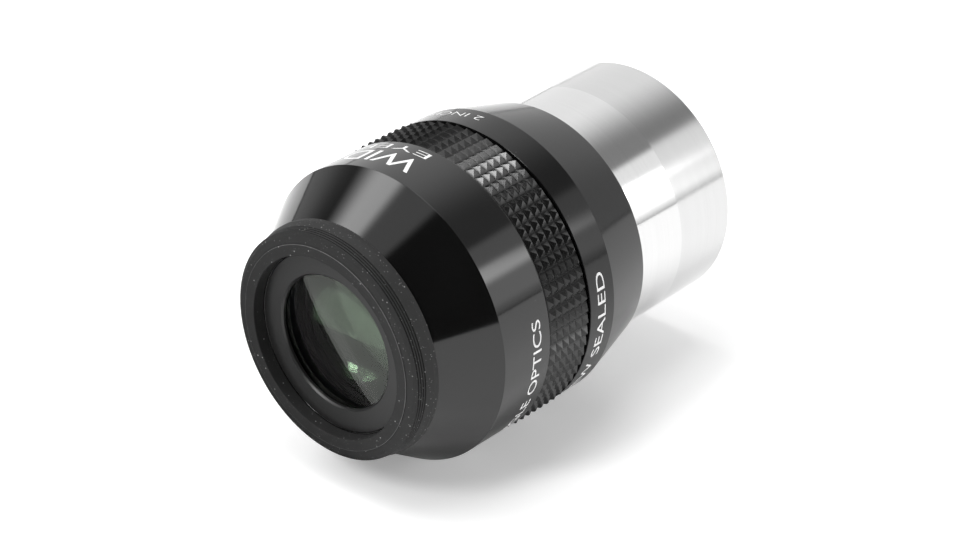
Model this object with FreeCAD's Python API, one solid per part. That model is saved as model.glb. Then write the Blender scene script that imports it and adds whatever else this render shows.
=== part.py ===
import FreeCAD, Part
import math
import os

# Two-inch wide-field telescope eyepiece, in millimetres, lying on its side.
#
# The optical axis is Y. The origin is the centre of the barrel's mouth, +Y points out of the mouth
# towards the telescope, -Y towards the eye, and +Z is up. A "station" is a distance from the mouth
# towards the eye, so station s lies at Y = -s. An outline is a closed list of (radius, station)
# corners, and each round piece is its outline turned about the optical axis.

# Fits
FIT = 0.05              # radial gap of a thread or a sliding seat
JOINT = 0.05            # gap between two faces that are screwed up to each other
CEMENT = 0.02           # layer of cement between the two glasses of a doublet
CUP_CLEARANCE = 0.3     # room round the eyecup's rim over its whole travel

# Barrel
BARREL_R = 25.4
BARREL_CHAMFER = 0.4
BARREL_BORE_R = 23.0
FILTER_THREAD_R = 23.6
FILTER_THREAD_END = 5.5
TAPER_START = 15.5
TAPER_R = 25.1
SHOULDER = 29.5
BARREL_SEAT = 30.3
BARREL_SEAT_R = 25.5
BARREL_THREAD_R = 24.55
BARREL_END = 35.8

# Field stop, screwed into the barrel
STOP_R = 15.9
STOP_RIM_R = 21.4
STOP_START = 25.6
STOP_WEB_START = 26.7
STOP_EDGE = 27.5
STOP_WEB_END = 28.0
STOP_END = 29.0

# Housings
HOUSING_R = 30.34
SHOULDER_R = 26.9
SHOULDER_CHAMFER = 0.3
REAR_CONE_END = 42.85
GROOVE_START = 49.8
SLEEVE_R = 28.6
SPLIT = 61.7
SPIGOT_R = 27.0
SPIGOT_END = 67.0
HOUSING_BORE_R = 20.6
BULKHEAD_START = 36.0
BULKHEAD_END = 38.0
BULKHEAD_R = 18.0
FRONT_BORE_R = 19.4
FRONT_BORE_END = 81.6
FRONT_CONE_START = 74.4
FRONT_CONE_END = 85.2
FRONT_CONE_R = 23.4
NECK_R = 20.2
NECK_END = 88.4
RING_THREAD_R = 18.35
RING_THREAD_START = 84.9

# Knurled grip
GRIP_START = 50.07
GRIP_LAND_END = 50.11
GRIP_PITCH = 1.83
GRIP_ROWS = 6
GRIP_TIP_R = 30.7
GRIP_VALLEY_R = 29.7

# Eyecup, folded down
CUP_OUTER_R = 23.9
CUP_FRONT_R = 23.2
CUP_BASE_R = 21.6
CUP_EDGE_R = 20.9
CUP_RECESS_R = 18.6
CUP_FRONT = 91.1
CUP_SHOULDER = 90.7
CUP_FOLD = 90.2
RIM_START = FRONT_CONE_END + CUP_CLEARANCE
RIM_END = 86.2

# Eye lens and its retaining ring
EYE_LENS_R = 16.0
EYE_LEDGE_R = 15.2
EYE_OPENING_R = 13.65
RING_FACE = 88.45
RING_DISH = 0.1
RING_CHAMFER = 0.3
RING_BACK = 87.4
RING_BACK_DROP = 0.25
RING_SKIRT_R = 17.2
RING_SKIRT_START = 85.9

# Lens cell and what it holds
LENS_R = 17.5
CELL_R = 20.5
CELL_NOSE_R = 19.3
CELL_SHOULDER = 62.0
CELL_END = 81.5
CELL_LIP_R = 16.4
SPACER_R = 16.6
LOCK_RING_END = 65.5
FIELD_RING_R = 16.4
FIELD_RING_START = 39.2

# O-rings: the groove that each one lies in, as (inner radius, outer radius, station)
EYE_ORING = (16.05, 17.0, 85.4)
FIELD_ORING = (LENS_R + FIT, 18.5, 44.1)
HOUSING_ORING = (26.1, SPIGOT_R, 64.6)
GROOVE_HALF_WIDTH = 0.6
ORING_GAP = 0.01        # between the cord and its groove

# Purge screw, in the sleeve under the grip, pointing down
PURGE_STATION = 56.0
PURGE_HEAD_R = 2.6
PURGE_SHANK_R = 1.5
PURGE_SEAT = 26.9
PURGE_SEAL_THICKNESS = 0.3
PURGE_HEAD_TOP = 28.4
PURGE_TIP = 22.5
PURGE_SLOT_WIDTH = 0.7
PURGE_SLOT_DEPTH = 0.5

# Spanner slots in the threaded rings
SLOT_WIDTH = 1.6
SLOT_DEPTH = 0.8

ORIGIN = FreeCAD.Vector(0, 0, 0)
OPTICAL_AXIS = FreeCAD.Vector(0, 1, 0)
DOWN = FreeCAD.Vector(0, 0, -1)


class GroundFace:
    """A ground face of a lens. It bulges towards the eye (+1) or towards the barrel (-1)."""

    def __init__(self, vertex, curve, bulge):
        self.vertex = vertex
        self.curve = curve
        self.bulge = bulge

    def station(self, radius):
        sag = self.curve - math.sqrt(self.curve**2 - radius**2)
        return self.vertex - self.bulge * sag

    def behind(self, gap):
        return GroundFace(self.vertex - gap, self.curve, self.bulge)


EYE_FRONT = GroundFace(87.9, 150.0, 1)
EYE_REAR = GroundFace(82.4, 90.0, -1)
FRONT_CROWN_FRONT = GroundFace(79.8, 45.0, 1)
FRONT_CROWN_REAR = GroundFace(68.8, 38.0, -1)
FRONT_FLINT_REAR = GroundFace(66.3, 120.0, -1)
MIDDLE_FRONT = GroundFace(65.6, 60.0, 1)
MIDDLE_REAR = GroundFace(58.6, 90.0, -1)
FIELD_CROWN_FRONT = GroundFace(57.6, 40.0, 1)
FIELD_CROWN_REAR = GroundFace(47.6, 48.0, -1)
FIELD_FLINT_REAR = GroundFace(45.1, 45.0, 1)


def place(corner):
    """The point at a (radius, station) corner of an outline."""
    radius, station = corner
    return FreeCAD.Vector(radius, -station, 0)


def turned(corners, bends=None):
    """Turn an outline about the optical axis.

    bends gives, for the side that starts at a corner's number, a point that its arc goes through.
    """
    bends = bends or {}
    sides = []
    for number, corner in enumerate(corners):
        start = place(corner)
        end = place(corners[(number + 1) % len(corners)])
        if number in bends:
            sides.append(Part.Arc(start, place(bends[number]), end).toShape())
        else:
            sides.append(Part.LineSegment(start, end).toShape())
    solid = Part.Face(Part.Wire(sides)).revolve(ORIGIN, OPTICAL_AXIS, 360)
    if solid.Volume < 0:
        solid.reverse()
    return solid


def lens(front, rear, radius):
    """A lens between two ground faces."""
    corners = [
        (0, rear.vertex),
        (radius, rear.station(radius)),
        (radius, front.station(radius)),
        (0, front.vertex),
    ]
    middle = radius / 2
    return turned(corners, {0: (middle, rear.station(middle)), 2: (middle, front.station(middle))})


def oring(groove):
    """An O-ring that fills the depth of its groove."""
    inner, outer, station = groove
    cord_r = (outer - inner) / 2 - ORING_GAP
    centre = FreeCAD.Vector(0, -station, 0)
    return Part.makeTorus((inner + outer) / 2, cord_r, centre, OPTICAL_AXIS)


def with_spanner_slots(ring, inner, outer, station):
    """Cut two opposite spanner slots into the face of a ring that starts at a station."""
    length = outer + 1
    slots = Part.makeBox(SLOT_WIDTH, SLOT_DEPTH * 2, 2 * length)
    slots.translate(FreeCAD.Vector(-SLOT_WIDTH / 2, -station - SLOT_DEPTH, -length))
    keep = Part.makeCylinder(inner - 1, 4 * SLOT_DEPTH, place((0, station + 2 * SLOT_DEPTH)), OPTICAL_AXIS)
    return ring.cut(slots.cut(keep))


def radial_pin(radius, low, high):
    """A pin that points down from the optical axis, between two radii, at the purge screw's place."""
    return Part.makeCylinder(radius, high - low, FreeCAD.Vector(0, -PURGE_STATION, -low), DOWN)


def barrel():
    return turned([
        (FILTER_THREAD_R, 0),
        (BARREL_R - BARREL_CHAMFER, 0),
        (BARREL_R, BARREL_CHAMFER),
        (BARREL_R, TAPER_START),
        (TAPER_R, BARREL_SEAT - JOINT),
        (BARREL_THREAD_R, BARREL_SEAT - JOINT),
        (BARREL_THREAD_R, BARREL_END),
        (BARREL_BORE_R, BARREL_END),
        (BARREL_BORE_R, FILTER_THREAD_END),
        (FILTER_THREAD_R, FILTER_THREAD_END),
    ])


def field_stop_ring():
    outer = BARREL_BORE_R - FIT
    ring = turned([
        (outer, STOP_START),
        (outer, STOP_END),
        (STOP_RIM_R, STOP_END),
        (STOP_RIM_R, STOP_WEB_END),
        (STOP_R, STOP_EDGE),
        (STOP_RIM_R, STOP_WEB_START),
        (STOP_RIM_R, STOP_START),
    ])
    return with_spanner_slots(ring, STOP_RIM_R, outer, STOP_START)


def rear_housing():
    groove_floor = HOUSING_ORING[0]
    groove_station = HOUSING_ORING[2]
    housing = turned([
        (BARREL_THREAD_R + FIT, BARREL_SEAT),
        (BARREL_SEAT_R, BARREL_SEAT),
        (BARREL_SEAT_R, SHOULDER),
        (SHOULDER_R - SHOULDER_CHAMFER, SHOULDER),
        (SHOULDER_R, SHOULDER + SHOULDER_CHAMFER),
        (HOUSING_R, REAR_CONE_END),
        (HOUSING_R, GROOVE_START),
        (SLEEVE_R, GROOVE_START),
        (SLEEVE_R, SPLIT - JOINT),
        (SPIGOT_R, SPLIT - JOINT),
        (SPIGOT_R, groove_station - GROOVE_HALF_WIDTH),
        (groove_floor, groove_station - GROOVE_HALF_WIDTH),
        (groove_floor, groove_station + GROOVE_HALF_WIDTH),
        (SPIGOT_R, groove_station + GROOVE_HALF_WIDTH),
        (SPIGOT_R, SPIGOT_END),
        (HOUSING_BORE_R, SPIGOT_END),
        (HOUSING_BORE_R, BULKHEAD_END),
        (BULKHEAD_R, BULKHEAD_END),
        (BULKHEAD_R, BULKHEAD_START),
        (BARREL_THREAD_R + FIT, BULKHEAD_START),
    ])
    thread_hole = radial_pin(PURGE_SHANK_R + FIT, HOUSING_BORE_R - 1, SLEEVE_R + 1)
    counterbore = radial_pin(PURGE_HEAD_R + FIT, PURGE_SEAT, SLEEVE_R + 1)
    return housing.cut(thread_hole.fuse(counterbore))


def grip_ring():
    corners = [(SLEEVE_R + FIT, GRIP_START), (GRIP_VALLEY_R, GRIP_START)]
    for row in range(GRIP_ROWS):
        valley = GRIP_LAND_END + row * GRIP_PITCH
        corners += [(GRIP_VALLEY_R, valley), (GRIP_TIP_R, valley + GRIP_PITCH / 2)]
    corners += [
        (GRIP_VALLEY_R, GRIP_LAND_END + GRIP_ROWS * GRIP_PITCH),
        (GRIP_VALLEY_R, SPLIT - JOINT),
        (SLEEVE_R + FIT, SPLIT - JOINT),
    ]
    return turned(corners)


def front_housing():
    seat = EYE_REAR.behind(JOINT)
    pocket_r = EYE_LENS_R + FIT
    return turned([
        (SPIGOT_R + FIT, SPLIT),
        (HOUSING_R, SPLIT),
        (HOUSING_R, FRONT_CONE_START),
        (FRONT_CONE_R, FRONT_CONE_END),
        (NECK_R, FRONT_CONE_END),
        (NECK_R, NECK_END),
        (RING_THREAD_R, NECK_END),
        (RING_THREAD_R, RING_THREAD_START),
        (pocket_r, RING_THREAD_START),
        (pocket_r, seat.station(EYE_LENS_R)),
        (EYE_LEDGE_R, seat.station(EYE_LEDGE_R)),
        (EYE_LEDGE_R, FRONT_BORE_END),
        (FRONT_BORE_R, FRONT_BORE_END),
        (FRONT_BORE_R, SPIGOT_END + JOINT),
        (SPIGOT_R + FIT, SPIGOT_END + JOINT),
    ])


def eyecup_base():
    return turned([
        (NECK_R + FIT, FRONT_CONE_END + JOINT),
        (CUP_BASE_R, FRONT_CONE_END + JOINT),
        (CUP_BASE_R, CUP_SHOULDER),
        (CUP_EDGE_R, CUP_FRONT),
        (CUP_RECESS_R, CUP_FRONT),
        (CUP_RECESS_R, NECK_END + JOINT),
        (NECK_R + FIT, NECK_END + JOINT),
    ])


def eyecup_flap():
    return turned([
        (CUP_BASE_R + FIT, RIM_END + JOINT),
        (CUP_OUTER_R, RIM_END + JOINT),
        (CUP_FRONT_R, CUP_FOLD),
        (CUP_BASE_R + FIT, CUP_SHOULDER),
    ])


def eyecup_rim():
    inner = CUP_BASE_R + CUP_CLEARANCE
    return turned([(inner, RIM_START), (CUP_OUTER_R, RIM_START), (CUP_OUTER_R, RIM_END), (inner, RIM_END)])


def eye_lens_retaining_ring():
    outer = RING_THREAD_R - FIT
    return turned([
        (EYE_OPENING_R, RING_BACK),
        (EYE_OPENING_R, RING_FACE - RING_DISH - RING_CHAMFER),
        (EYE_OPENING_R + RING_CHAMFER, RING_FACE - RING_DISH),
        (outer, RING_FACE),
        (outer, RING_SKIRT_START),
        (RING_SKIRT_R, RING_SKIRT_START),
        (RING_SKIRT_R, RING_BACK - RING_BACK_DROP),
    ])


def lens_cell():
    bore_r = LENS_R + FIT
    groove_station = FIELD_ORING[2]
    groove_floor = FIELD_ORING[1]
    return turned([
        (bore_r, BULKHEAD_END + JOINT),
        (CELL_R, BULKHEAD_END + JOINT),
        (CELL_R, CELL_SHOULDER),
        (CELL_NOSE_R, CELL_SHOULDER),
        (CELL_NOSE_R, CELL_END),
        (CELL_LIP_R, CELL_END),
        (CELL_LIP_R, FRONT_CROWN_FRONT.station(CELL_LIP_R) + 2 * JOINT),
        (bore_r, FRONT_CROWN_FRONT.station(LENS_R) + 2 * JOINT),
        (bore_r, groove_station + GROOVE_HALF_WIDTH),
        (groove_floor, groove_station + GROOVE_HALF_WIDTH),
        (groove_floor, groove_station - GROOVE_HALF_WIDTH),
        (bore_r, groove_station - GROOVE_HALF_WIDTH),
    ])


def spacer(rear, front):
    """A spacer whose ends follow the rims of the lenses behind and in front of it."""
    return turned([
        (SPACER_R, rear.station(SPACER_R) + 2 * JOINT),
        (LENS_R, rear.station(LENS_R) + 2 * JOINT),
        (LENS_R, front.station(LENS_R) - 2 * JOINT),
        (SPACER_R, front.station(SPACER_R) - 2 * JOINT),
    ])


def cell_lock_ring():
    inner = CELL_NOSE_R + FIT
    outer = HOUSING_BORE_R - FIT
    start = CELL_SHOULDER + JOINT
    ring = turned([(inner, start), (outer, start), (outer, LOCK_RING_END), (inner, LOCK_RING_END)])
    return with_spanner_slots(ring, inner, outer, LOCK_RING_END)


def field_lens_retaining_ring():
    end = FIELD_FLINT_REAR.station(LENS_R) - JOINT
    ring = turned([
        (FIELD_RING_R, FIELD_RING_START),
        (LENS_R, FIELD_RING_START),
        (LENS_R, end),
        (FIELD_RING_R, end),
    ])
    return with_spanner_slots(ring, FIELD_RING_R, LENS_R, FIELD_RING_START)


def purge_screw():
    head_start = PURGE_SEAT + PURGE_SEAL_THICKNESS + 2 * JOINT
    head = radial_pin(PURGE_HEAD_R, head_start, PURGE_HEAD_TOP)
    shank = radial_pin(PURGE_SHANK_R, PURGE_TIP, head_start + JOINT)
    slot = Part.makeBox(PURGE_SLOT_WIDTH, 4 * PURGE_HEAD_R, 2 * PURGE_SLOT_DEPTH)
    slot.translate(FreeCAD.Vector(
        -PURGE_SLOT_WIDTH / 2,
        -PURGE_STATION - 2 * PURGE_HEAD_R,
        -PURGE_HEAD_TOP - PURGE_SLOT_DEPTH,
    ))
    return head.fuse(shank).cut(slot).removeSplitter()


def purge_screw_seal():
    low = PURGE_SEAT + JOINT
    washer = radial_pin(PURGE_HEAD_R, low, low + PURGE_SEAL_THICKNESS)
    return washer.cut(radial_pin(PURGE_SHANK_R + FIT, PURGE_SEAT, PURGE_HEAD_TOP))


PIECES = {
    "barrel": barrel(),
    "field_stop_ring": field_stop_ring(),
    "rear_housing": rear_housing(),
    "grip_ring": grip_ring(),
    "front_housing": front_housing(),
    "eyecup_base": eyecup_base(),
    "eyecup_flap": eyecup_flap(),
    "eyecup_rim": eyecup_rim(),
    "eye_lens_retaining_ring": eye_lens_retaining_ring(),
    "eye_lens": lens(EYE_FRONT, EYE_REAR, EYE_LENS_R),
    "eye_lens_oring": oring(EYE_ORING),
    "lens_cell": lens_cell(),
    "front_crown_lens": lens(FRONT_CROWN_FRONT, FRONT_CROWN_REAR, LENS_R),
    "front_flint_lens": lens(FRONT_CROWN_REAR.behind(CEMENT), FRONT_FLINT_REAR, LENS_R),
    "front_spacer": spacer(MIDDLE_FRONT, FRONT_FLINT_REAR),
    "middle_lens": lens(MIDDLE_FRONT, MIDDLE_REAR, LENS_R),
    "rear_spacer": spacer(FIELD_CROWN_FRONT, MIDDLE_REAR),
    "field_crown_lens": lens(FIELD_CROWN_FRONT, FIELD_CROWN_REAR, LENS_R),
    "field_flint_lens": lens(FIELD_CROWN_REAR.behind(CEMENT), FIELD_FLINT_REAR, LENS_R),
    "field_lens_retaining_ring": field_lens_retaining_ring(),
    "field_lens_oring": oring(FIELD_ORING),
    "housing_oring": oring(HOUSING_ORING),
    "cell_lock_ring": cell_lock_ring(),
    "purge_screw": purge_screw(),
    "purge_screw_seal": purge_screw_seal(),
}

os.makedirs("parts", exist_ok=True)
for name, shape in PIECES.items():
    shape.exportStep(f"parts/{name}.step")
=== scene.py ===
import logging
import math
from dataclasses import dataclass, field, replace
from enum import Enum
from typing import Any, Callable, Mapping, Sequence, Union

import bmesh
import bpy
from mathutils import Matrix, Vector


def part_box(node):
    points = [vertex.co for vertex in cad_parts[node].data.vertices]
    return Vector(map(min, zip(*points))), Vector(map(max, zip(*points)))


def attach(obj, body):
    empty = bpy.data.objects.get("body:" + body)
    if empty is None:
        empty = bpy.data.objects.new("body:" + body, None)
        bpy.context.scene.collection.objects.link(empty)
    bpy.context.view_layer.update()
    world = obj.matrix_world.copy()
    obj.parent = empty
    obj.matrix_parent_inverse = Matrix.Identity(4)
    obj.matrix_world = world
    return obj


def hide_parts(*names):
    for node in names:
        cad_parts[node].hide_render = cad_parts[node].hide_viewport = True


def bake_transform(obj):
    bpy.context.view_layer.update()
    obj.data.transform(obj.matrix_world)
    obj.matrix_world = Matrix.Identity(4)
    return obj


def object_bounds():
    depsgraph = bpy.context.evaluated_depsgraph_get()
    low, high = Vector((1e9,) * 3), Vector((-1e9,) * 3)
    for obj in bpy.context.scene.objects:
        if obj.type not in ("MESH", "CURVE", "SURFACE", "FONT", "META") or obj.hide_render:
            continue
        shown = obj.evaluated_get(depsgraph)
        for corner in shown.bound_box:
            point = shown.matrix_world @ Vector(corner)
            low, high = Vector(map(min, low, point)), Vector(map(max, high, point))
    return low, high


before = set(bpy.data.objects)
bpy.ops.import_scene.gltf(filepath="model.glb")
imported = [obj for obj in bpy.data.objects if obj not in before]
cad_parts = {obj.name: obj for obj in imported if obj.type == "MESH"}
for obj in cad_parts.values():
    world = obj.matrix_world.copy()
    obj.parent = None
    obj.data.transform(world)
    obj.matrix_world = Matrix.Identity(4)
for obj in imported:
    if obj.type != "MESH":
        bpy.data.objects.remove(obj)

# The eyepiece lies on its side with its optical axis along Y. Lengths here are in millimetres, and a
# "station" is a distance along the axis from the barrel's mouth towards the eye, as in the CAD model.
MM = 0.001
CAD_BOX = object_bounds()
SHARP_ANGLE = 35.0
LOG = logging.getLogger("eyepiece")

Sockets = Mapping[Any, Any]
Number = Union["Value", float]
Outline = Sequence[tuple[float, float]]


class Body(Enum):
    """The rigid bodies of the CAD model."""

    HOUSING = "eyepiece"
    CUP_EDGE = "eyecup_edge"


class Slot(Enum):
    """The record's material slots."""

    BARREL = "barrel_chrome"
    BLACK = "black_anodised"
    GRIP = "black_anodised_grip"
    RING = "satin_black_ring"
    FLAT = "flat_black"
    CUP = "eyecup_rubber"
    SEAL = "seal_rubber"
    GLASS = "coated_glass"
    STEEL = "screw_steel"


# --- Node trees ---


class Value:
    """A number in a node tree, so that node maths reads as arithmetic."""

    def __init__(self, graph: "Graph", socket: bpy.types.NodeSocket) -> None:
        """Wrap a socket of a graph."""
        self.graph = graph
        self.socket = socket

    def __add__(self, other: Number) -> "Value":
        """Sum."""
        return self.graph.math("ADD", self, other)

    __radd__ = __add__

    def __mul__(self, other: Number) -> "Value":
        """Product."""
        return self.graph.math("MULTIPLY", self, other)

    __rmul__ = __mul__

    def __sub__(self, other: Number) -> "Value":
        """Difference."""
        return self.graph.math("SUBTRACT", self, other)

    def __rsub__(self, other: Number) -> "Value":
        """Difference from a number."""
        return self.graph.math("SUBTRACT", other, self)

    def __truediv__(self, other: Number) -> "Value":
        """Quotient."""
        return self.graph.math("DIVIDE", self, other)

    def __rtruediv__(self, other: Number) -> "Value":
        """Quotient of a number by this."""
        return self.graph.math("DIVIDE", other, self)

    def __pow__(self, other: Number) -> "Value":
        """Power."""
        return self.graph.math("POWER", self, other)

    def __abs__(self) -> "Value":
        """Size without its sign."""
        return self.graph.math("ABSOLUTE", self)

    def greater(self, other: Number) -> "Value":
        """The larger of this and another."""
        return self.graph.math("MAXIMUM", self, other)

    def ramp(self, low: float, high: float, start: float = 0.0, end: float = 1.0) -> "Value":
        """Turn smoothly from start to end as this goes from low to high.

        Args:
            low: where the turn starts.
            high: where it ends.
            start: the result up to low.
            end: the result from high on.

        Returns:
            The smooth step.
        """
        sockets = {"Value": self, "From Min": low, "From Max": high, "To Min": start, "To Max": end}
        step = self.graph.node("ShaderNodeMapRange", sockets, interpolation_type="SMOOTHSTEP")
        return Value(self.graph, step.outputs["Result"])

    def band(self, low: float, high: float, blur: float) -> "Value":
        """1 between low and high, fading to 0 over blur outside them."""
        return self.ramp(low - blur, low) * self.ramp(high, high + blur, 1.0, 0.0)


class Graph:
    """A node tree, with one method that adds a node of any type."""

    def __init__(self, tree: bpy.types.NodeTree) -> None:
        """Start a graph in an empty tree."""
        self.tree = tree
        tree.nodes.clear()

    def node(self, kind: str, sockets: Sockets | None = None, **settings: Any) -> bpy.types.Node:
        """Add a node.

        Args:
            kind: the node's type.
            sockets: values or links of its inputs, by name or number.
            settings: its properties, set before its sockets.

        Returns:
            The node.
        """
        made = self.tree.nodes.new(kind)
        for name, setting in settings.items():
            setattr(made, name, setting)
        for name, value in (sockets or {}).items():
            source = value.socket if isinstance(value, Value) else value
            if isinstance(source, bpy.types.NodeSocket):
                self.tree.links.new(source, made.inputs[name])
            else:
                made.inputs[name].default_value = source
        return made

    def math(self, operation: str, *terms: Number) -> Value:
        """Add a Math node on numbers or values."""
        made = self.node("ShaderNodeMath", dict(enumerate(terms)), operation=operation)
        return Value(self, made.outputs[0])

    def mixed(self, factor: Number, first: Any, second: Any) -> bpy.types.NodeSocket:
        """Mix two colours.

        Args:
            factor: 0 for the first colour, 1 for the second.
            first: a colour or a link.
            second: a colour or a link.

        Returns:
            The mixed colour's socket.
        """
        made = self.node("ShaderNodeMix", {0: factor, 6: first, 7: second}, data_type="RGBA")
        return made.outputs[2]

    def joined(self, x: Number, y: Number, z: Number) -> bpy.types.NodeSocket:
        """Make a vector of three numbers."""
        return self.node("ShaderNodeCombineXYZ", {0: x, 1: y, 2: z}).outputs[0]

    def parts(self, vector: Any) -> tuple[Value, Value, Value]:
        """Split a vector into three numbers."""
        made = self.node("ShaderNodeSeparateXYZ", {0: vector})
        return tuple(Value(self, output) for output in made.outputs)

    def scaled(self, vector: Any, factor: float) -> bpy.types.NodeSocket:
        """Make a vector longer by a factor."""
        made = self.node("ShaderNodeVectorMath", {0: vector, "Scale": factor}, operation="SCALE")
        return made.outputs[0]


def grey(level: float) -> tuple[float, float, float, float]:
    """A neutral colour."""
    return (level, level, level, 1.0)


class Shader(Graph):
    """A material for a piece that is turned about the optical axis."""

    def __init__(self, name: str) -> None:
        """Start an empty material of that name."""
        self.material = bpy.data.materials.new(name)
        self.material.use_nodes = True
        super().__init__(self.material.node_tree)
        coordinates = self.node("ShaderNodeTexCoord")
        self.point = self.scaled(coordinates.outputs["Object"], 1 / MM)
        x, y, z = self.parts(self.point)
        self.station = y * -1
        self.radius = self.math("SQRT", x * x + z * z)
        self.across = x / self.radius
        self.upward = z / self.radius

    def noise(self, size: float, detail: float = 2.0, vector: Any = None) -> Value:
        """Soft noise from 0 to 1.

        Args:
            size: the size of its blobs in millimetres.
            detail: how many finer layers it has.
            vector: where it is read, if not at the point itself.

        Returns:
            The noise.
        """
        sockets = {"Vector": vector or self.point, "Scale": 1 / size, "Detail": detail}
        return Value(self, self.node("ShaderNodeTexNoise", sockets).outputs[0])

    def turning(self, pitch: float, length: float) -> Value:
        """The marks of a lathe tool: fine lines round the axis.

        Args:
            pitch: how far apart the lines are, in millimetres.
            length: how far round a line runs before it changes, as a share of the radius.

        Returns:
            Noise from 0 to 1, drawn out round the axis.
        """
        along = (self.station + self.radius * 1.3) / pitch
        return self.noise(1.0, 2.0, self.joined(along, self.across / length, self.upward / length))

    def specks(self, spacing: float, size: float, share: float) -> Value:
        """Dust: small dots at random places.

        Args:
            spacing: the mean distance between places, in millimetres.
            size: a dot's radius in millimetres.
            share: how many of the places have a dot.

        Returns:
            1 on a dot and 0 elsewhere.
        """
        cells = self.node("ShaderNodeTexVoronoi", {"Vector": self.point, "Scale": 1 / spacing})
        red, green, _ = self.parts(cells.outputs["Color"])
        dot = Value(self, cells.outputs["Distance"]).ramp(size / spacing * 0.5, size / spacing, 1.0, 0.0)
        return dot * red.ramp(share, share + 0.02, 1.0, 0.0) * green.ramp(0.0, 1.0, 0.4, 1.0)

    def bumped(self, height: Value, depth: float) -> bpy.types.NodeSocket:
        """A normal from a height.

        Args:
            height: the height, from 0 to 1.
            depth: the full height in millimetres.

        Returns:
            The normal's socket.
        """
        made = self.node("ShaderNodeBump", {"Strength": 1.0, "Distance": depth * MM, "Height": height})
        return made.outputs[0]

    def finished(self, **sockets: Any) -> bpy.types.Material:
        """End the material with a Principled BSDF.

        Args:
            sockets: its inputs, by their names with _ for a space.

        Returns:
            The material.
        """
        named = {name.replace("_", " "): value for name, value in sockets.items()}
        surface = self.node("ShaderNodeBsdfPrincipled", named)
        self.node("ShaderNodeOutputMaterial", {"Surface": surface.outputs[0]})
        return self.material


# --- Finishes ---


@dataclass(frozen=True)
class BlackAnodise:
    """Black anodised aluminium, turned smooth and half glossy."""

    name: str
    tone: float = 0.0042
    roughness: float = 0.12
    gloss: float = 0.57
    turning_depth: float = 0.0004
    dust: float = 0.05

    def material(self) -> bpy.types.Material:
        """Make the material."""
        shader = Shader(self.name)
        turning = shader.turning(0.16, 1.4)
        blotch = shader.noise(9.0)
        dust = shader.specks(2.6, 0.10, self.dust)
        colour = shader.mixed(blotch, grey(self.tone * 0.8), grey(self.tone * 1.25))
        return shader.finished(
            Base_Color=shader.mixed(dust, colour, grey(0.35)),
            Roughness=self.roughness + turning * 0.02 + blotch * 0.02 + dust * 0.5,
            Normal=shader.bumped(turning, self.turning_depth),
            Specular_IOR_Level=self.gloss,
        )


@dataclass(frozen=True)
class KnurledBlack:
    """Black anodised knurling, with a painted highlight that makes its tips a little lighter."""

    name: str
    valley_radius: float
    tip_radius: float

    def material(self) -> bpy.types.Material:
        """Make the material."""
        shader = Shader(self.name)
        depth = self.tip_radius - self.valley_radius
        height = (shader.radius - self.valley_radius) / depth
        # painted highlight: the colour turns lighter towards the tips of the pyramids
        tip_highlight = height.ramp(0.72, 1.0)
        grime = height.ramp(0.0, 0.45, 1.0, 0.0)
        grain = shader.noise(0.12, 3.0)
        dust = shader.specks(1.5, 0.07, 0.08) * grime
        colour = shader.mixed(tip_highlight * (grain * 0.5 + 0.5), grey(0.006), grey(0.02))
        return shader.finished(
            Base_Color=shader.mixed(dust, colour, grey(0.2)),
            Roughness=0.17 + grain * 0.08 + grime * 0.2,
            Normal=shader.bumped(grain, 0.004),
            IOR=1.52,
        )


@dataclass(frozen=True)
class BrightBarrel:
    """Bright turned metal: satin next to the mouth, smoother on the tapered part."""

    name: str
    taper_start: float

    def material(self) -> bpy.types.Material:
        """Make the material."""
        shader = Shader(self.name)
        coarse = shader.turning(0.30, 2.2)
        fine = shader.turning(0.07, 1.2)
        satin = shader.station.ramp(self.taper_start - 0.05, self.taper_start + 0.05, 1.0, 0.0)
        smudge = shader.noise(14.0, 3.0)
        marks = coarse * 0.5 + fine * 0.5
        return shader.finished(
            Base_Color=shader.mixed(marks * 0.6 + satin * 0.4, grey(0.71), grey(0.55)),
            Metallic=1.0,
            Roughness=0.06 + satin * 0.04 + fine * 0.04 + smudge * 0.03,
            Normal=shader.bumped(marks, 0.0012),
        )


@dataclass(frozen=True)
class MouldedRubber:
    """Matt moulded rubber with a little dust, and a painted highlight round the edge of its front face."""

    name: str
    edge: float
    face: float
    tone: float = 0.018

    def material(self) -> bpy.types.Material:
        """Make the material."""
        shader = Shader(self.name)
        grain = shader.noise(0.10, 3.0)
        blotch = shader.noise(3.5, 3.0)
        settled = blotch.ramp(0.4, 0.62, 0.1) * shader.radius.ramp(20.5, 23.0, 0.2, 0.6)
        dust = shader.specks(1.0, 0.17, 0.3).greater(shader.specks(0.5, 0.13, 0.5) * settled)
        # painted highlight: a patchy lighter band round the outer edge of the front face
        edge = shader.radius.band(self.edge - 0.06, self.edge + 0.02, 0.05) * blotch
        edge_highlight = edge * shader.station.ramp(self.face - 0.2, self.face - 0.05)
        colour = shader.mixed(blotch, grey(self.tone * 0.8), grey(self.tone * 1.3))
        return shader.finished(
            Base_Color=shader.mixed(dust.greater(edge_highlight * 0.5), colour, grey(0.36)),
            Roughness=0.55 + grain * 0.12 + blotch * 0.08,
            Normal=shader.bumped(grain, 0.006),
            Specular_IOR_Level=0.3,
        )


@dataclass(frozen=True)
class SatinRing:
    """Satin black anodise, faced on a lathe."""

    name: str

    def material(self) -> bpy.types.Material:
        """Make the material."""
        shader = Shader(self.name)
        turning = shader.turning(0.12, 2.0)
        dust = shader.specks(1.8, 0.07, 0.08)
        return shader.finished(
            Base_Color=shader.mixed(dust, grey(0.014), grey(0.4)),
            Roughness=0.36 + turning * 0.08,
            Normal=shader.bumped(turning, 0.0015),
            Specular_IOR_Level=0.5,
        )


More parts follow.
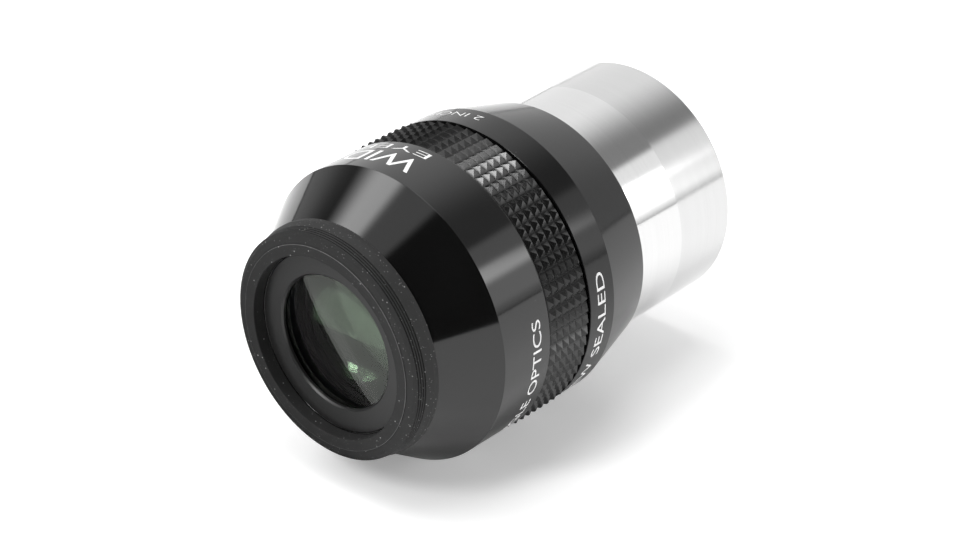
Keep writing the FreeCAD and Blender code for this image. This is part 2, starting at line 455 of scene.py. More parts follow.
@dataclass(frozen=True)
class FlatBlack:
    """Matt black that stops stray light inside."""

    name: str

    def material(self) -> bpy.types.Material:
        """Make the material."""
        shader = Shader(self.name)
        turning = shader.turning(0.45, 3.0)
        grain = shader.noise(0.15)
        return shader.finished(
            Base_Color=shader.mixed(grain, grey(0.006), grey(0.012)),
            Roughness=0.55 + turning * 0.15,
            Normal=shader.bumped(turning, 0.03),
            IOR=1.45,
        )


@dataclass(frozen=True)
class CoatedGlass:
    """Clear glass whose coating gives faint coloured reflections."""

    name: str
    tint: tuple[float, float, float]
    coating: tuple[float, float, float]
    level: float
    ior: float = 1.5

    def material(self) -> bpy.types.Material:
        """Make the material."""
        shader = Shader(self.name)
        patch = shader.noise(6.0)
        return shader.finished(
            Base_Color=shader.mixed(patch, (*self.tint, 1.0), grey(self.tint[1])),
            Roughness=0.0,
            Transmission_Weight=1.0,
            IOR=self.ior,
            Specular_IOR_Level=self.level,
            Specular_Tint=(*self.coating, 1.0),
        )


@dataclass(frozen=True)
class PlainFinish:
    """A finish of one tone with an even grain: ink, smooth rubber or bare steel."""

    name: str
    dark: float
    light: float
    roughness: float
    grain: float
    depth: float
    detail: float = 3.0
    metallic: float = 0.0

    def material(self) -> bpy.types.Material:
        """Make the material."""
        shader = Shader(self.name)
        grain = shader.noise(self.grain, self.detail)
        return shader.finished(
            Base_Color=shader.mixed(grain, grey(self.dark), grey(self.light)),
            Metallic=self.metallic,
            Roughness=self.roughness + grain * 0.15,
            Normal=shader.bumped(grain, self.depth),
        )


# --- Shapes ---


@dataclass(frozen=True)
class Span:
    """How far a CAD node reaches: two stations and its outer radius, in millimetres."""

    start: float
    end: float
    radius: float

    @classmethod
    def of(cls, node: str) -> "Span":
        """Measure a CAD node."""
        low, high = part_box(node)
        return cls(-high.y / MM, -low.y / MM, high.x / MM)


def measured(node: str) -> Any:
    """A dataclass field that holds the span of a CAD node."""
    return field(default_factory=lambda: Span.of(node))


def rounded(corners: Sequence[tuple[float, ...]], steps: int = 4) -> list[tuple[float, float]]:
    """Round the corners of a closed outline, and hold its straight sides straight.

    Args:
        corners: (station, radius) corners; a third number is the corner's fillet radius.
        steps: how many sides a fillet has.

    Returns:
        The outline's points, with an extra point close to each end of a long side.
    """
    hold = 0.05  # how far the extra points are from the ends
    points: list[Vector] = []
    for number, corner in enumerate(corners):
        here = Vector(corner[:2])
        fillet = corner[2] if len(corner) > 2 else 0.0
        if not fillet:
            points.append(here)
            continue
        back = (Vector(corners[number - 1][:2]) - here).normalized()
        onward = (Vector(corners[(number + 1) % len(corners)][:2]) - here).normalized()
        half = back.angle(onward) / 2
        centre = here + (back + onward).normalized() * (fillet / math.sin(half))
        start = here + back * (fillet / math.tan(half)) - centre
        turn = start.angle_signed(here + onward * (fillet / math.tan(half)) - centre)
        points += [centre + Matrix.Rotation(-turn * step / steps, 2) @ start for step in range(steps + 1)]
    held: list[tuple[float, float]] = []
    for number, here in enumerate(points):
        there = points[(number + 1) % len(points)]
        held.append(tuple(here))
        side = there - here
        if side.length > 6 * hold:
            held.append(tuple(here + side.normalized() * hold))
            held.append(tuple(there - side.normalized() * hold))
    return held


def turned(name: str, outline: Outline, segments: int = 240) -> bpy.types.Object:
    """Turn an outline about the optical axis into a closed mesh.

    Args:
        name: the object's name.
        outline: (station, radius) points; it is closed, or starts and ends on the axis.
        segments: how many sides the turned piece has.

    Returns:
        The object, at the origin.
    """
    solid = outline[0][1] == 0.0 and outline[-1][1] == 0.0
    rings: list[list[int]] = []
    points: list[tuple[float, float, float]] = []
    for station, radius in outline:
        first = len(points)
        count = 1 if radius == 0.0 else segments
        rings.append([first + step % count for step in range(segments)])
        for step in range(count):
            angle = math.tau * step / segments
            points.append((radius * math.cos(angle) * MM, -station * MM, radius * math.sin(angle) * MM))
    faces: list[tuple[int, ...]] = []
    last = len(rings) - 1 if solid else len(rings)
    for number in range(last):
        low = rings[number]
        high = rings[(number + 1) % len(rings)]
        for step in range(segments):
            after = (step + 1) % segments
            corners = (low[step], low[after], high[after], high[step])
            faces.append(tuple(dict.fromkeys(corners)))
    mesh = bpy.data.meshes.new(name)
    mesh.from_pydata(points, [], faces)
    face_outwards(mesh)
    return placed(name, mesh, SHARP_ANGLE)


def face_outwards(mesh: bpy.types.Mesh) -> None:
    """Turn the faces of a closed mesh outwards."""
    editor = bmesh.new()
    editor.from_mesh(mesh)
    bmesh.ops.recalc_face_normals(editor, faces=editor.faces)
    editor.to_mesh(mesh)
    editor.free()


def placed(name: str, mesh: bpy.types.Mesh, sharp: float) -> bpy.types.Object:
    """Make a smooth-shaded object of a mesh.

    Args:
        name: the object's name.
        mesh: its mesh.
        sharp: edges that turn by more than this angle, in degrees, stay sharp.

    Returns:
        The object, at the origin.
    """
    mesh.shade_smooth()
    mesh.set_sharp_from_angle(angle=math.radians(sharp))
    return linked(name, mesh)


def linked(name: str, data: Any) -> bpy.types.Object:
    """Put a mesh, curve or camera into the scene as an object at the origin."""
    made = bpy.data.objects.new(name, data)
    bpy.context.scene.collection.objects.link(made)
    return made


def sheet(name: str, corners: Sequence[Sequence[float]], level: float) -> bpy.types.Object:
    """Lay a flat sheet with the given (x, y) corners at a level, all in millimetres."""
    mesh = bpy.data.meshes.new(name)
    mesh.from_pydata([(x * MM, y * MM, level * MM) for x, y in corners], [], [(0, 1, 2, 3)])
    return linked(name, mesh)


def dressed(
    piece: bpy.types.Object,
    material: bpy.types.Material,
    slot: Slot,
    replaces: Sequence[str] = (),
    rides: bool = True,
) -> bpy.types.Object:
    """Give a finished piece its material and its place in the frame, and log its slot.

    Args:
        piece: the piece.
        material: its material.
        slot: the record's material slot.
        replaces: the CAD nodes that it stands for.
        rides: whether it rides on the housing; a piece that doesn't is left unattached here.

    Returns:
        The same piece.
    """
    piece.data.materials.clear()
    piece.data.materials.append(material)
    if rides:
        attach(piece, Body.HOUSING.value)
    if replaces:
        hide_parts(*replaces)
    LOG.info("%s: %d faces, %s", piece.name, len(piece.data.polygons), slot.value)
    return piece


# --- Geometry Nodes ---


class Socket(Enum):
    """The kinds of input that a geometry tree has."""

    NUMBER = "NodeSocketFloat"
    COUNT = "NodeSocketInt"
    GEOMETRY = "NodeSocketGeometry"
    MATERIAL = "NodeSocketMaterial"


class Former(Graph):
    """A Geometry Nodes tree with named inputs, which turns one mesh into another."""

    def __init__(self, name: str, inputs: Mapping[str, Socket]) -> None:
        """Start a tree.

        Args:
            name: its name.
            inputs: its inputs' names and kinds, between the geometry and the material.
        """
        super().__init__(bpy.data.node_groups.new(name, "GeometryNodeTree"))
        face = self.tree.interface
        face.new_socket("Geometry", in_out="INPUT", socket_type=Socket.GEOMETRY.value)
        self.sockets = {
            label: face.new_socket(label, in_out="INPUT", socket_type=kind.value)
            for label, kind in {**inputs, "Material": Socket.MATERIAL}.items()
        }
        face.new_socket("Geometry", in_out="OUTPUT", socket_type=Socket.GEOMETRY.value)
        self.inputs = self.node("NodeGroupInput")

    def given(self, label: str) -> Value:
        """The value of a named input."""
        return Value(self, self.inputs.outputs[label])

    def end(self, geometry: bpy.types.NodeSocket) -> None:
        """Close the tree: realize what is instanced, and set the material."""
        real = self.node("GeometryNodeRealizeInstances", {0: geometry})
        sockets = {"Geometry": real.outputs[0], "Material": self.inputs.outputs["Material"]}
        coated = self.node("GeometryNodeSetMaterial", sockets)
        self.node("NodeGroupOutput", {0: coated.outputs[0]})

    def applied(self, piece: bpy.types.Object, **values: Any) -> bpy.types.Object:
        """Form a piece and leave it a plain mesh.

        Args:
            piece: the object that the tree starts from.
            values: the tree's inputs, by their names with _ for a space.

        Returns:
            The same object, with its new mesh.
        """
        modifier = piece.modifiers.new(self.tree.name, "NODES")
        modifier.node_group = self.tree
        for label, value in values.items():
            modifier[self.sockets[label.replace("_", " ")].identifier] = value
        seen = piece.evaluated_get(bpy.context.evaluated_depsgraph_get())
        mesh = bpy.data.meshes.new_from_object(seen)
        piece.modifiers.remove(modifier)
        piece.data = mesh
        return piece


def knurl_former() -> Former:
    """A tree that sets rows of pyramids round a turned band."""
    lengths = ("First Row", "Pitch", "Base Radius", "Depth", "Flat")
    counts = {"Teeth": Socket.COUNT, "Rows": Socket.COUNT}
    former = Former("knurl", counts | dict.fromkeys(lengths, Socket.NUMBER))
    teeth, radius = former.given("Teeth"), former.given("Base Radius") * MM
    number = Value(former, former.node("GeometryNodeInputIndex").outputs[0])
    angle = former.math("MODULO", number, teeth) * math.tau / teeth
    row = former.math("FLOOR", (number + 0.5) / teeth)
    across, upward = former.math("COSINE", angle), former.math("SINE", angle)
    along = (former.given("First Row") + row * former.given("Pitch")) * -MM
    places = {
        "Count": teeth * former.given("Rows"),
        "Position": former.joined(across * radius, along, upward * radius),
    }
    centres = former.node("GeometryNodePoints", places)
    axes = {0: former.joined(across, 0.0, upward), 1: (0.0, 1.0, 0.0)}
    stance = former.node("FunctionNodeAxesToRotation", axes, primary_axis="Z", secondary_axis="Y")
    corner = math.sqrt(0.5)  # from the middle of a unit square to its corner
    flat = former.given("Flat") * corner
    sizes = {"Vertices": 4, "Radius Top": flat, "Radius Bottom": corner, "Depth": 1.0}
    pyramid = former.node("GeometryNodeMeshCone", sizes)
    turn = {"Geometry": pyramid.outputs[0], "Rotation": (0.0, 0.0, math.pi / 4)}
    square = former.node("GeometryNodeTransform", turn)
    width = radius * math.tau / teeth
    teeth_on_points = {
        "Points": centres.outputs[0],
        "Instance": square.outputs[0],
        "Rotation": stance.outputs[0],
        "Scale": former.joined(width, former.given("Pitch") * MM, former.given("Depth") * MM),
    }
    rows = former.node("GeometryNodeInstanceOnPoints", teeth_on_points)
    joined = former.node("GeometryNodeJoinGeometry", {0: former.inputs.outputs["Geometry"]})
    former.tree.links.new(rows.outputs[0], joined.inputs[0])
    former.end(joined.outputs[0])
    return former


def thread_former() -> Former:
    """A tree that winds a screw thread's ridge along the optical axis."""
    lengths = ("Radius", "Pitch", "Turns", "Ridge", "Start")
    former = Former("screw_thread", dict.fromkeys(lengths, Socket.NUMBER))
    radius = former.given("Radius") * MM
    length = former.given("Pitch") * former.given("Turns") * MM
    spiral = {"Resolution": 96, "Rotations": former.given("Turns"), "Height": length}
    spiral |= {"Start Radius": radius, "End Radius": radius}
    helix = former.node("GeometryNodeCurveSpiral", spiral)
    profile = {"Resolution": 6, "Radius": former.given("Ridge") * MM}
    ridge = former.node("GeometryNodeCurvePrimitiveCircle", profile)
    sweep = {"Curve": helix.outputs[0], "Profile Curve": ridge.outputs[0], "Fill Caps": True}
    wound = former.node("GeometryNodeCurveToMesh", sweep)
    turn = {
        "Geometry": wound.outputs[0],
        "Translation": former.joined(0.0, former.given("Start") * -MM, 0.0),
        "Rotation": (math.pi / 2, 0.0, 0.0),
    }
    laid = former.node("GeometryNodeTransform", turn)
    former.end(laid.outputs[0])
    return former


# --- Sub-assemblies ---


@dataclass
class Barrel:
    """The bright push-fit barrel, with a filter thread in its mouth."""

    cad: Span = measured("barrel")
    seat: float = 30.25
    taper_start: float = 15.5
    taper_radius: float = 25.1
    bore_radius: float = 23.0
    thread_end: float = 5.5
    thread_radius: float = 24.0
    thread_pitch: float = 0.75
    thread_turns: float = 6.5
    boss_radius: float = 24.55

    def build(self) -> None:
        """Make the barrel and its thread."""
        metal = BrightBarrel("bright_barrel", self.taper_start).material()
        corners = [
            (0.0, self.thread_radius, 0.0),
            (0.0, self.cad.radius, 0.35),
            (self.taper_start, self.cad.radius, 0.0),
            (self.seat, self.taper_radius, 0.0),
            (self.seat, self.boss_radius, 0.0),
            (self.cad.end, self.boss_radius, 0.3),
            (self.cad.end, self.bore_radius, 0.2),
            (self.thread_end + 0.3, self.bore_radius, 0.1),
            (self.thread_end, self.thread_radius, 0.0),
        ]
        dressed(turned("barrel_tube", rounded(corners)), metal, Slot.BARREL, ["barrel"])
        thread = linked("filter_thread", bpy.data.meshes.new("filter_thread"))
        sizes = {"Radius": self.thread_radius, "Pitch": self.thread_pitch, "Turns": self.thread_turns}
        thread_former().applied(thread, **sizes, Ridge=0.3, Start=0.45, Material=metal)
        dressed(thread, metal, Slot.BARREL)


@dataclass
class RearHousing:
    """The coned shell between the barrel and the grip."""

    cad: Span = measured("rear_housing")
    grip: Span = measured("grip_ring")
    rear_radius: float = 26.9
    recess_radius: float = 25.5
    recess_end: float = 30.3
    cone_end: float = 42.85
    groove_start: float = 49.8
    sleeve_radius: float = 28.6
    spigot_radius: float = 26.0
    bore_radius: float = 20.6
    seat_radius: float = 24.6
    bulkhead_radius: float = 18.0
    bulkhead_start: float = 36.0
    bulkhead_end: float = 38.0

    def build(self) -> None:
        """Make the shell."""
        top = self.cad.radius
        corners = [
            (self.cad.start, self.recess_radius, 0.1),
            (self.cad.start, self.rear_radius, 0.3),
            (self.cone_end, top, 0.3),
            (self.groove_start, top, 0.12),
            (self.groove_start, self.sleeve_radius, 0.0),
            (self.grip.end, self.sleeve_radius, 0.0),
            (self.grip.end, self.spigot_radius, 0.0),
            (self.cad.end, self.spigot_radius, 0.2),
            (self.cad.end, self.bore_radius, 0.2),
            (self.bulkhead_end, self.bore_radius, 0.0),
            (self.bulkhead_end, self.bulkhead_radius, 0.15),
            (self.bulkhead_start, self.bulkhead_radius, 0.15),
            (self.bulkhead_start, self.seat_radius, 0.0),
            (self.recess_end, self.seat_radius, 0.0),
            (self.recess_end, self.recess_radius, 0.0),
        ]
        black = BlackAnodise("black_anodise_rear", roughness=0.10, gloss=0.36).material()
        dressed(turned("rear_shell", rounded(corners)), black, Slot.BLACK, ["rear_housing"])


@dataclass
class Grip:
    """The knurled band round the middle."""

    cad: Span = measured("grip_ring")
    start: float = 50.07
    teeth: int = 76
    rows: int = 6
    pitch: float = 1.83
    valley_radius: float = 29.7
    bore_radius: float = 28.65
    flat: float = 0.05

    def build(self) -> None:
        """Make the band with its pyramids."""
        finish = KnurledBlack("knurled_black", self.valley_radius, self.cad.radius)
        corners = [
            (self.start, self.bore_radius, 0.0),
            (self.start, self.valley_radius, 0.05),
            (self.cad.end, self.valley_radius, 0.05),
            (self.cad.end, self.bore_radius, 0.0),
        ]
        material = finish.material()
        band = knurl_former().applied(
            turned("knurled_band", rounded(corners), 228),
            Teeth=self.teeth,
            Rows=self.rows,
            First_Row=self.start + 0.04 + self.pitch / 2,
            Pitch=self.pitch,
            Base_Radius=self.valley_radius - 0.03,
            Depth=self.cad.radius - self.valley_radius + 0.02,
            Flat=self.flat,
            Material=material,
        )
        band.data.set_sharp_from_angle(angle=math.radians(22.0))
        dressed(band, material, Slot.GRIP, ["grip_ring"])


@dataclass
class FrontHousing:
    """The shell between the grip and the eyecup, with its wide cone."""

    cad: Span = measured("front_housing")
    cone_start: float = 74.4
    cone_end: float = 85.2
    cone_radius: float = 23.4
    neck_radius: float = 20.2
    spigot_bore: float = 27.05
    spigot_end: float = 67.05
    bore_radius: float = 19.4
    bore_end: float = 81.6
    ledge_radius: float = 15.2
    ledge_end: float = 83.5
    ledge_dish: float = 0.35
    pocket_radius: float = 16.05
    thread_start: float = 84.9
    thread_radius: float = 18.35

    def build(self) -> None:
        """Make the shell."""
        top = self.cad.radius
        corners = [
            (self.cad.start, self.spigot_bore, 0.0),
            (self.cad.start, top, 0.12),
            (self.cone_start, top, 0.1),
            (self.cone_end, self.cone_radius, 0.12),
            (self.cone_end, self.neck_radius, 0.0),
            (self.cad.end, self.neck_radius, 0.1),
            (self.cad.end, self.thread_radius, 0.1),
            (self.thread_start, self.thread_radius, 0.0),
            (self.thread_start, self.pocket_radius, 0.0),
            (self.ledge_end + self.ledge_dish, self.pocket_radius, 0.0),
            (self.ledge_end, self.ledge_radius, 0.0),
            (self.bore_end, self.ledge_radius, 0.0),
            (self.bore_end, self.bore_radius, 0.0),
            (self.spigot_end, self.bore_radius, 0.0),
            (self.spigot_end, self.spigot_bore, 0.0),
        ]
        black = BlackAnodise("black_anodise_front", roughness=0.065).material()
        dressed(turned("front_shell", rounded(corners)), black, Slot.BLACK, ["front_housing"])


@dataclass
class Eyecup:
    """The rubber eyecup, folded down over its own base."""

    base: Span = measured("eyecup_base")
    flap: Span = measured("eyecup_flap")
    rim: Span = measured("eyecup_rim")
    neck_radius: float = 20.25
    neck_end: float = 88.45
    recess_radius: float = 18.6
    edge_radius: float = 20.9
    fold_radius: float = 23.15
    fold: float = 90.2
    inner_radius: float = 21.7
    grooves: int = 4
    groove_pitch: float = 0.52
    groove_depth: float = 0.5
    groove_width: float = 0.28
    first_groove: float = 88.45

    def build(self) -> None:
        """Make the base and the flap."""
        rubber = MouldedRubber("moulded_rubber", self.edge_radius, self.base.end).material()
        dressed(self._base(), rubber, Slot.CUP, ["eyecup_base"])
        flap = dressed(self._flap(), rubber, Slot.CUP, ["eyecup_flap", "eyecup_rim"], rides=False)
        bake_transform(flap)

    def _base(self) -> bpy.types.Object:
        """Make the part that stays on the neck."""
        corners = [
            (self.base.start, self.neck_radius, 0.0),
            (self.base.start, self.base.radius - 0.05, 0.1),
            (self.fold + 0.1, self.base.radius - 0.05, 0.0),
            (self.base.end - 0.25, self.edge_radius + 0.03, 0.0),
            (self.base.end, self.edge_radius, 0.09),
            (self.base.end, self.recess_radius, 0.14),
            (self.neck_end, self.recess_radius, 0.0),
            (self.neck_end, self.neck_radius, 0.0),
        ]
        return turned("eyecup_collar", rounded(corners))

    def _flap(self) -> bpy.types.Object:
        """Make the part that folds, with the grooves beside the fold."""
        top = self.rim.radius
        start = self.rim.start - 0.15
        slope = (top - self.fold_radius) / (self.fold - self.rim.start)
        corners: list[tuple[float, ...]] = [
            (start, self.inner_radius, 0.15),
            (start, top, 0.22),
            (self.rim.end + 0.4, top, 0.3),
        ]
        for number in range(self.grooves):
            station = self.first_groove + number * self.groove_pitch
            level = top - (station - self.rim.start) * slope
            corners += [
                (station - self.groove_width / 2, level, 0.05),
                (station, level - self.groove_depth, 0.0),
                (station + self.groove_width / 2, level, 0.05),
            ]
        corners += [
            (self.fold + 0.05, self.fold_radius, 0.12),
            (self.flap.end - 0.05, self.fold_radius - 0.75, 0.3),
            (self.base.end - 0.17, self.edge_radius + 0.08, 0.03),
            (self.base.end - 0.3, self.edge_radius + 0.1, 0.0),
            (self.fold + 0.12, self.inner_radius, 0.0),
        ]
        return turned("eyecup_flap_skin", rounded(corners))


@dataclass
class EyeLens:
    """The eye lens and the ring that holds it."""

    ring: Span = measured("eye_lens_retaining_ring")
    lens: Span = measured("eye_lens")
    opening_radius: float = 13.65
    bevel: float = 0.35
    dish: float = 0.1
    back: float = 87.4
    skirt_radius: float = 17.2
    front_curve: float = 150.0
    rear_curve: float = 90.0

    def build(self) -> None:
        """Make the ring and the lens."""
        satin = SatinRing("satin_ring").material()
        corners = [
            (self.back, self.opening_radius, 0.05),
            (self.ring.end - self.dish - self.bevel, self.opening_radius, 0.0),
            (self.ring.end - self.dish, self.opening_radius + self.bevel, 0.05),
            (self.ring.end, self.ring.radius, 0.12),
            (self.ring.start, self.ring.radius, 0.0),
            (self.ring.start, self.skirt_radius, 0.0),
            (self.back - 0.25, self.skirt_radius, 0.0),
        ]
        dressed(turned("eye_lens_ring", rounded(corners)), satin, Slot.RING, ["eye_lens_retaining_ring"])
        front = CoatedGlass("coated_eye_glass", (0.78, 0.86, 0.78), (0.93, 1.0, 0.90), 0.12)
        rear = CoatedGlass("coated_rear_glass", (0.78, 0.86, 0.78), (1.0, 0.90, 0.97), 0.02, 1.22)
        shape = ground_lens(self.lens, self.front_curve, self.rear_curve)
        lens = turned("eye_lens_glass", shape, 192)
        dressed(lens, front.material(), Slot.GLASS, ["eye_lens"])
        lens.data.materials.append(rear.material())
        middle = -(self.lens.start + self.lens.end) / 2 * MM
        for face in lens.data.polygons:
            face.material_index = int(face.center.y > middle)


def ground_lens(span: Span, front_curve: float, rear_curve: float) -> list[tuple[float, float]]:
    """The outline of a lens that bulges both ways.

    Args:
        span: where its two faces cross the axis, and its radius.
        front_curve: the radius of the face towards the eye.
        rear_curve: the radius of the face towards the barrel.

    Returns:
        (station, radius) points from the axis to the axis.
    """
    steps = 24
    points: list[tuple[float, float]] = []
    for step in range(steps + 1):
        radius = span.radius * step / steps
        points.append((span.start + rear_curve - math.sqrt(rear_curve**2 - radius**2), radius))
    for step in range(steps, -1, -1):
        radius = span.radius * step / steps
        points.append((span.end - front_curve + math.sqrt(front_curve**2 - radius**2), radius))
    return points


@dataclass
class Inside:
    """The pieces inside, which keep their CAD shapes."""

    flat: Sequence[str] = ("field_stop_ring", "lens_cell", "front_spacer", "rear_spacer")
    rings: Sequence[str] = ("field_lens_retaining_ring", "cell_lock_ring")
    seals: Sequence[str] = ("eye_lens_oring", "field_lens_oring", "housing_oring", "purge_screw_seal")
    outer_lenses: Sequence[str] = ("front_crown_lens", "front_flint_lens", "middle_lens")
    field_lenses: Sequence[str] = ("field_crown_lens", "field_flint_lens")

    def build(self) -> None:
        """Dress every inner piece."""
        glass = CoatedGlass("coated_inner_glass", (0.70, 0.78, 0.70), (0.75, 1.0, 0.72), 0.03).material()
        seal = PlainFinish("seal_rubber", 0.010, 0.018, 0.4, 0.3, 0.004, detail=2.0)
        steel = PlainFinish("turned_steel", 0.42, 0.58, 0.28, 0.25, 0.004, metallic=1.0)
        groups: list[tuple[Sequence[str], bpy.types.Material]] = [
            ((*self.flat, *self.rings), FlatBlack("flat_black").material()),
            (self.seals, seal.material()),
            ((*self.outer_lenses, *self.field_lenses), glass),
            (("purge_screw",), steel.material()),
        ]
        for names, material in groups:
            for name in names:
                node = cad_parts[name]
                node.data.materials.clear()
                node.data.materials.append(material)
                LOG.info("%s: %s", name, material.name)


@dataclass(frozen=True)
class Line:
    """A line of printed lettering.

    Attributes:
        name: the piece's name.
        words: what it says.
        radius: the radius of the surface that it is printed on.
        station: where the feet of the letters stand.
        height: how tall the capitals are.
        advance: how far round the surface one letter takes.
        angle: where the line starts, in degrees round the axis from +X towards +Z.
        thinned: how much thinner its strokes are, as a share of the font's size.
    """

    name: str
    words: str
    radius: float
    station: float
    height: float
    advance: float
    angle: float
    thinned: float = 0.0

    def ending(self) -> "Line":
        """The same line, ending where this one starts."""
        reach = math.degrees(len(self.words) * self.advance / self.radius)
        return replace(self, angle=self.angle - reach)


@dataclass
class Lettering:
    """White words round the two cylinders, with their tops towards the eye."""

    front: Span = measured("front_housing")
    rear: Span = measured("rear_housing")
    lift: float = 0.012
    thickness: float = 0.02
    longest_side: float = 1.2
    facing: float = 41.0

    def build(self) -> None:
        """Print every line."""
        ink = PlainFinish("white_ink", 0.80, 0.92, 0.45, 0.2, 0.002).material()
        front, rear, facing = self.front.radius, self.rear.radius, self.facing
        lines = [
            Line("words_wide_field", "WIDE FIELD", front, 66.5, 4.7, 4.8, facing + 43),
            Line("words_eyepiece", "EYEPIECE", front, 63.0, 2.0, 4.4, facing + 45, 0.012),
            Line("words_optics", "WIDE ANGLE OPTICS", front, 64.2, 2.3, 2.9, facing - 29).ending(),
            Line("words_sealed", "DUST AND DEW SEALED", rear, 45.4, 2.2, 3.4, facing - 25).ending(),
            Line("words_two_inch", "2 INCH FIT", rear, 44.7, 1.7, 2.1, facing + 51, 0.015),
        ]
        for line in lines:
            dressed(self._printed(line), ink, Slot.BLACK)

    def _printed(self, line: Line) -> bpy.types.Object:
        """Wrap one line round its surface, as an object at the origin."""
        letters = bpy.data.curves.new(line.name, "FONT")
        letters.body = line.words
        letters.extrude = 0.5
        letters.offset = -line.thinned
        letters.resolution_u = 4
        holder = linked(line.name, letters)
        seen = holder.evaluated_get(bpy.context.evaluated_depsgraph_get())
        mesh = bpy.data.meshes.new_from_object(seen)
        bpy.data.objects.remove(holder)
        mesh.name = line.name
        editor = bmesh.new()
        editor.from_mesh(mesh)
        across = [vertex.co.x for vertex in editor.verts]
        tall = max(vertex.co.y for vertex in editor.verts)
        length = len(line.words) * line.advance
        wide = length / (max(across) - min(across))
        for vertex in editor.verts:
            x, y, z = vertex.co
            vertex.co = ((x - min(across)) * wide, y * line.height / tall, z * self.thickness)
        bmesh.ops.remove_doubles(editor, verts=editor.verts, dist=1e-4)
        self._shorten(editor)
        for vertex in editor.verts:
            angle = math.radians(line.angle) + vertex.co.x / line.radius
            radius = (line.radius + self.lift + vertex.co.z) * MM
            station = line.station + vertex.co.y
            vertex.co = (radius * math.cos(angle), -station * MM, radius * math.sin(angle))
        bmesh.ops.recalc_face_normals(editor, faces=editor.faces)
        editor.to_mesh(mesh)
        editor.free()
        return placed(line.name, mesh, 30.0)

    def _shorten(self, editor: bmesh.types.BMesh) -> None:
        """Cut long sides, so that the letters can follow the curve."""
        bmesh.ops.triangulate(editor, faces=editor.faces)
        for _ in range(4):
            long = [edge for edge in editor.edges if edge.calc_length() > self.longest_side]
            if not long:
                return
            bmesh.ops.subdivide_edges(editor, edges=long, cuts=1)
            bmesh.ops.triangulate(editor, faces=editor.faces)


# --- Studio ---


@dataclass(frozen=True)
class Panel:
    """A bright patch of the studio, seen from the eyepiece.

    Attributes:
        azimuth: its middle, in degrees: 0 looks from -Y, 90 from +X.
        half_width: half its width in degrees.
        low: its lower edge's elevation in degrees.
        high: its upper edge's elevation in degrees.
        strength: how bright it is.
        side_blur: how soft its sides are, in degrees.
        low_blur: how soft its lower edge is.
        high_blur: how soft its upper edge is.
    """

    azimuth: float
    half_width: float
    low: float
    high: float
    strength: float
    side_blur: float
    low_blur: float
    high_blur: float


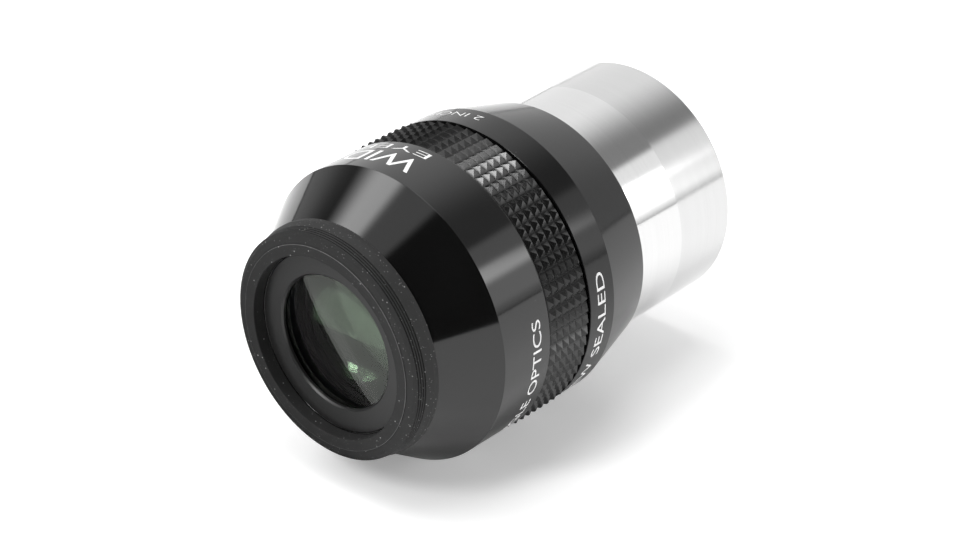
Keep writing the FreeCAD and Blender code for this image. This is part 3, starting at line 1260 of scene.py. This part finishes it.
@dataclass
class Studio:
    """A white floor, a white backdrop and a few softboxes round the eyepiece."""

    grip: Span = measured("grip_ring")
    azimuth: float = 41.48
    elevation: float = 29.90
    distance: float = 520.4
    aside: float = 0.61
    below: float = 3.25
    lens: float = 97.17
    sensor: float = 36.0
    floor_size: float = 6000.0
    shade_size: tuple[float, float] = (34.0, 44.0)
    shade_middle: float = 52.0
    card_start: tuple[float, float] = (-120.0, -169.0)
    card_end: tuple[float, float] = (12.0, -94.0)
    card_width: float = 60.0
    card_edge: float = 1.6
    card_lift: float = 1.0
    panels: Sequence[Panel] = (
        Panel(0, 181, 77, 91, 4.5, 1, 4, 1),
        Panel(-68, 20, 53, 60, 4.5, 12, 20, 6),
        Panel(-50, 56, 50, 76, 0.95, 16, 10, 4),
        Panel(170, 66, 1, 35, 0.8, 8, 2, 3.5),
        Panel(115, 33, 3, 35, 0.3, 8, 3, 3.5),
        Panel(115, 19, 7, 31, 0.7, 5, 5, 6),
        Panel(115, 20, 21, 25, 3.2, 4, 5, 4),
        Panel(225, 13, 38.5, 60, 0.85, 52, 3.5, 8),
        Panel(180, 60, 38.5, 60, 0.27, 10, 3.5, 8),
        Panel(225, 38, 2, 35, 0.3, 20, 2, 3.5),
        Panel(-96, 22, -4, 10, 0.25, 10, 2, 20),
        Panel(-10, 6, 39, 50, 20.0, 5, 5, 5),
        Panel(-36, 10, 37, 48, 1.6, 8, 6, 6),
    )

    def build(self) -> None:
        """Set up the floor, the world and the camera."""
        bpy.context.scene.view_settings.view_transform = "Standard"
        self._floor()
        self._painted_reflection()
        self._world()
        self._camera()

    def _floor(self) -> None:
        """Lay the floor under the grip; it glows a little, and a painted shadow dims its glow near the
        eyepiece for every ray but the camera's.
        """
        half = self.floor_size / 2
        corners = [(-half, -half), (half, -half), (half, half), (-half, half)]
        floor = sheet("floor", corners, -self.grip.radius)
        shader = Shader("white_paper")
        mottle = shader.noise(60.0)
        x, y, _ = shader.parts(shader.point)
        wide, long = self.shade_size
        # painted shadow: near the eyepiece the floor's glow drops to a tenth, except for camera rays
        outside_painted_shadow = shader.math("SQRT", (x / wide) ** 2 + ((y + self.shade_middle) / long) ** 2).ramp(0.6, 1.35)
        seen = Value(shader, shader.node("ShaderNodeLightPath").outputs["Is Camera Ray"])
        paper = shader.finished(
            Base_Color=shader.mixed(mottle, grey(0.86), grey(0.88)),
            Roughness=0.9,
            Specular_IOR_Level=0.1,
            Emission_Color=shader.mixed(outside_painted_shadow.greater(seen), grey(0.1), grey(1.0)),
            Emission_Strength=0.3,
        )
        floor.data.materials.append(paper)

    def _painted_reflection(self) -> None:
        """Lay a painted reflection: a dark card with a white edge on the floor, which only mirrors such as
        the eye lens show.
        """
        start, end = Vector(self.card_start), Vector(self.card_end)
        inward = Vector((start.y - end.y, end.x - start.x)).normalized()
        cards = (("painted_reflection_card", 0.01, 0.0, self.card_width), ("painted_reflection_strip", 0.9, -self.card_edge, 0.0))
        for name, tone, near, far in cards:
            corners = (start + inward * near, end + inward * near, end + inward * far, start + inward * far)
            card = sheet(name, corners, self.card_lift - self.grip.radius)
            shader = Shader(name)
            paper = shader.finished(
                Base_Color=shader.mixed(shader.noise(5.0), grey(tone), grey(tone * 0.9)),
                Roughness=0.9,
                Specular_IOR_Level=0.0,
            )
            card.data.materials.append(paper)
            # painted reflection: the camera, diffuse light and shadows don't see these cards, only mirrors
            # do
            card.visible_camera = False
            card.visible_diffuse = False
            card.visible_shadow = False

    def _world(self) -> None:
        """Paint the studio round the eyepiece, and white behind it."""
        world = bpy.data.worlds.new("studio")
        world.use_nodes = True
        bpy.context.scene.world = world
        graph = Graph(world.node_tree)
        x, y, z = graph.parts(graph.node("ShaderNodeTexCoord").outputs["Generated"])
        azimuth = graph.math("ARCTAN2", x, y * -1) * (180 / math.pi)
        elevation = graph.math("ARCSINE", z) * (180 / math.pi)
        light: Number = 0.02
        for panel in self.panels:
            aside = abs(graph.math("WRAP", azimuth - panel.azimuth, 180.0, -180.0))
            across = aside.ramp(panel.half_width, panel.half_width + panel.side_blur, 1.0, 0.0)
            upward = elevation.ramp(panel.low - panel.low_blur, panel.low)
            downward = elevation.ramp(panel.high, panel.high + panel.high_blur, 1.0, 0.0)
            light = across * upward * downward * panel.strength + light
        seen = graph.node("ShaderNodeLightPath").outputs["Is Camera Ray"]
        strength = graph.node("ShaderNodeMix", {0: seen, 2: light, 3: 1.0}, data_type="FLOAT")
        glow = graph.node("ShaderNodeBackground", {"Color": grey(1.0), "Strength": strength.outputs[0]})
        graph.node("ShaderNodeOutputWorld", {"Surface": glow.outputs[0]})

    def _camera(self) -> None:
        """Stand the camera where the whole eyepiece shows from above its eye end."""
        low, high = CAD_BOX
        turn, tilt = math.radians(self.azimuth), math.radians(self.elevation)
        back = Vector((math.sin(turn) * math.cos(tilt), -math.cos(turn) * math.cos(tilt), math.sin(tilt)))
        right = Vector((math.cos(turn), math.sin(turn), 0.0))
        up = back.cross(right)
        offset = right * self.aside - up * self.below + back * self.distance
        camera = bpy.data.cameras.new("camera")
        camera.lens = self.lens
        camera.sensor_width = self.sensor
        camera.clip_start = 0.01
        holder = linked("camera", camera)
        turned_to = Matrix((right, up, back)).transposed().to_4x4()
        holder.matrix_world = Matrix.Translation((low + high) / 2 + offset * MM) @ turned_to
        bpy.context.scene.camera = holder


def main() -> None:
    """Build the eyepiece, then the studio."""
    logging.basicConfig(level=logging.INFO, format="%(message)s")
    shells: Sequence[Callable[[], Any]] = (Barrel, RearHousing, Grip, FrontHousing, Eyecup)
    rest: Sequence[Callable[[], Any]] = (EyeLens, Inside, Lettering, Studio)
    for builder in (*shells, *rest):
        LOG.info("building %s", builder.__name__)
        builder().build()


if __name__ == "__main__":
    main()
